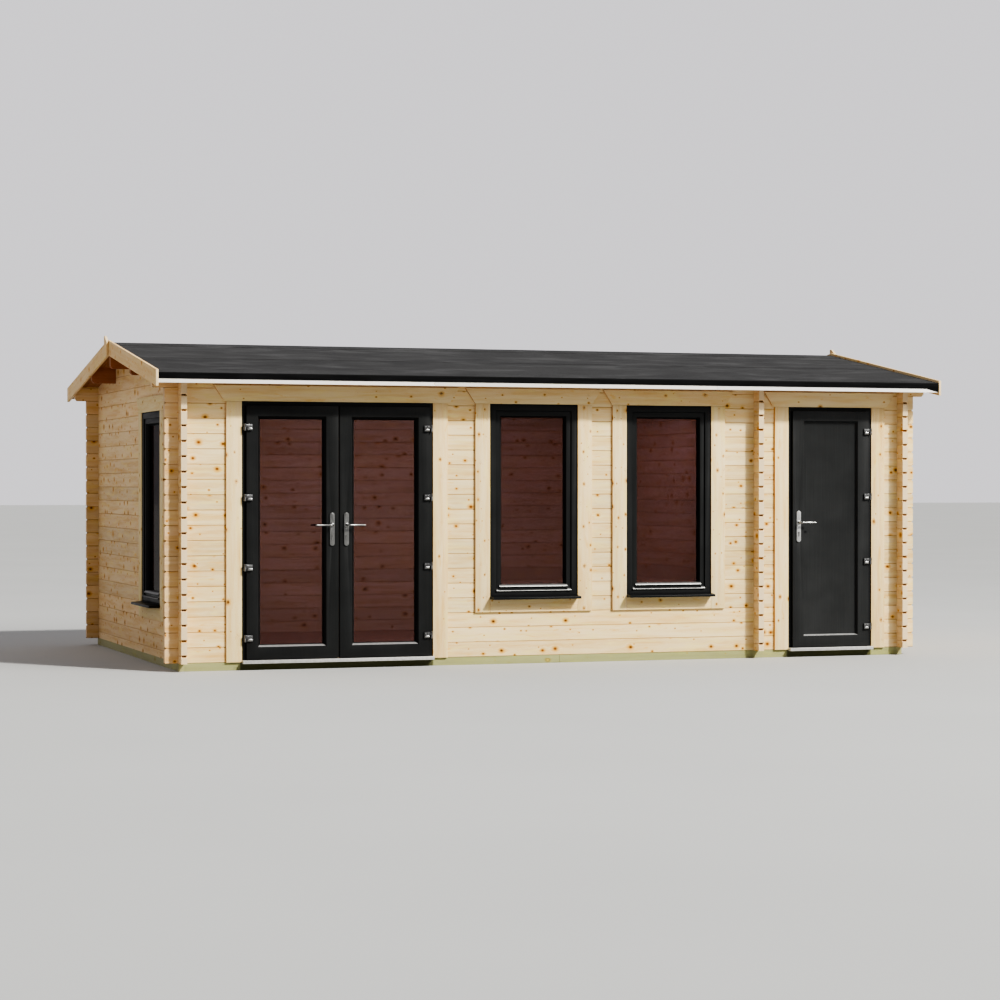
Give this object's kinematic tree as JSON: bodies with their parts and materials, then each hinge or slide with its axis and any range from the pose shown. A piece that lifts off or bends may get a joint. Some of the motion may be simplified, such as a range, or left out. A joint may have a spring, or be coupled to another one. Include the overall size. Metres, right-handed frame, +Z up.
{
  "type": "log cabin",
  "caption": "Small interlocking-log cabin with a pitched felt roof, glazed double doors, casement windows and a side store with its own door.",
  "frame": {"origin": "centre of the footprint at ground level", "axes": "+X along the front to the right as seen from in front, +Y from the front into the depth, +Z up"},
  "size_m": [6.486, 3.92, 2.5854],
  "materials": {
    "spruce_log": "planed, unpainted",
    "spruce_beam": "planed, unpainted",
    "spruce_board": "planed, unpainted",
    "spruce_trim": "planed, unpainted",
    "roof_board": "planed, unpainted",
    "eaves_board": "planed, unpainted",
    "floor_board": "planed, unpainted",
    "treated_bearer": "pressure treated, pale green",
    "roof_felt": "mineral roofing felt, matt",
    "dark_joinery": "painted dark grey, satin",
    "dark_sill": "dark, satin",
    "threshold": "satin",
    "hardware_metal": "satin",
    "window_glass": "clear, faintly warm tint"
  },
  "bodies": {
    "cabin": {"floor_bearers": "treated_bearer", "front_and_rear_bearers": "treated_bearer", "floors": "floor_board", "front_wall_left_end": "spruce_log", "front_wall_below_windows": "spruce_log", "front_wall_door_pier": "spruce_log", "front_wall_middle_pier": "spruce_log", "front_wall_store_pier": "spruce_log", "front_wall_right_end": "spruce_log", "front_wall_header": "spruce_log", "rear_wall": "spruce_log", "left_wall_below_window": "spruce_log", "left_wall_front_pier": "spruce_log", "left_wall_rear_pier": "spruce_log", "left_gable": "spruce_log", "right_gable_wall": "spruce_log", "partition_wall": "spruce_log", "roof_purlins": "spruce_beam", "roof_boards": "roof_board", "eaves_boards": "eaves_board", "roof_felt": "roof_felt", "bargeboards": "spruce_board", "apex_cover_boards": "spruce_board", "door_jambs": "dark_joinery", "door_frame_heads": "dark_joinery", "door_thresholds": "threshold", "hinge_frame_halves": "hardware_metal", "door_side_trims": "spruce_trim", "door_head_trims": "spruce_trim", "window_frames": "dark_joinery", "window_sashes": "dark_joinery", "window_panes": "window_glass", "window_sills": "dark_sill", "window_trims": "spruce_trim"},
    "left_door": {"left_french_door": "dark_joinery", "left_french_door_glass": "window_glass", "left_french_door_hardware": "hardware_metal"},
    "left_lever": {"left_french_door_lever": "hardware_metal"},
    "right_door": {"right_french_door": "dark_joinery", "right_french_door_glass": "window_glass", "right_french_door_hardware": "hardware_metal"},
    "right_lever": {"right_french_door_lever": "hardware_metal"},
    "side_door": {"store_door": "dark_joinery", "store_door_hardware": "hardware_metal"},
    "side_lever": {"store_door_lever": "hardware_metal"}
  },
  "joints": [
    {"name": "left_french_door_hinge", "type": "hinge", "parent": "cabin", "child": "left_door", "pos_m": [-2.508, -1.744, 1.032], "axis": [0, 0, -1], "range_deg": [0, 105]},
    {"name": "right_french_door_hinge", "type": "hinge", "parent": "cabin", "child": "right_door", "pos_m": [-1.046, -1.744, 1.032], "axis": [0, 0, 1], "range_deg": [0, 105]},
    {"name": "store_door_hinge", "type": "hinge", "parent": "cabin", "child": "side_door", "pos_m": [2.7, -1.744, 1.032], "axis": [0, 0, 1], "range_deg": [0, 105]},
    {"name": "left_lever_turn", "type": "hinge", "parent": "left_door", "child": "left_lever", "pos_m": [-1.833, -1.705, 1.084], "axis": [0, -1, 0], "range_deg": [0, 40], "stiffness_Nm_per_rad": 1.5, "springref_deg": -20.05},
    {"name": "right_lever_turn", "type": "hinge", "parent": "right_door", "child": "right_lever", "pos_m": [-1.721, -1.705, 1.084], "axis": [0, 1, 0], "range_deg": [0, 40], "stiffness_Nm_per_rad": 1.5, "springref_deg": -20.05},
    {"name": "store_lever_turn", "type": "hinge", "parent": "side_door", "child": "side_lever", "pos_m": [2.057, -1.705, 1.084], "axis": [0, 1, 0], "range_deg": [0, 40], "stiffness_Nm_per_rad": 1.5, "springref_deg": -20.05}
  ]
}
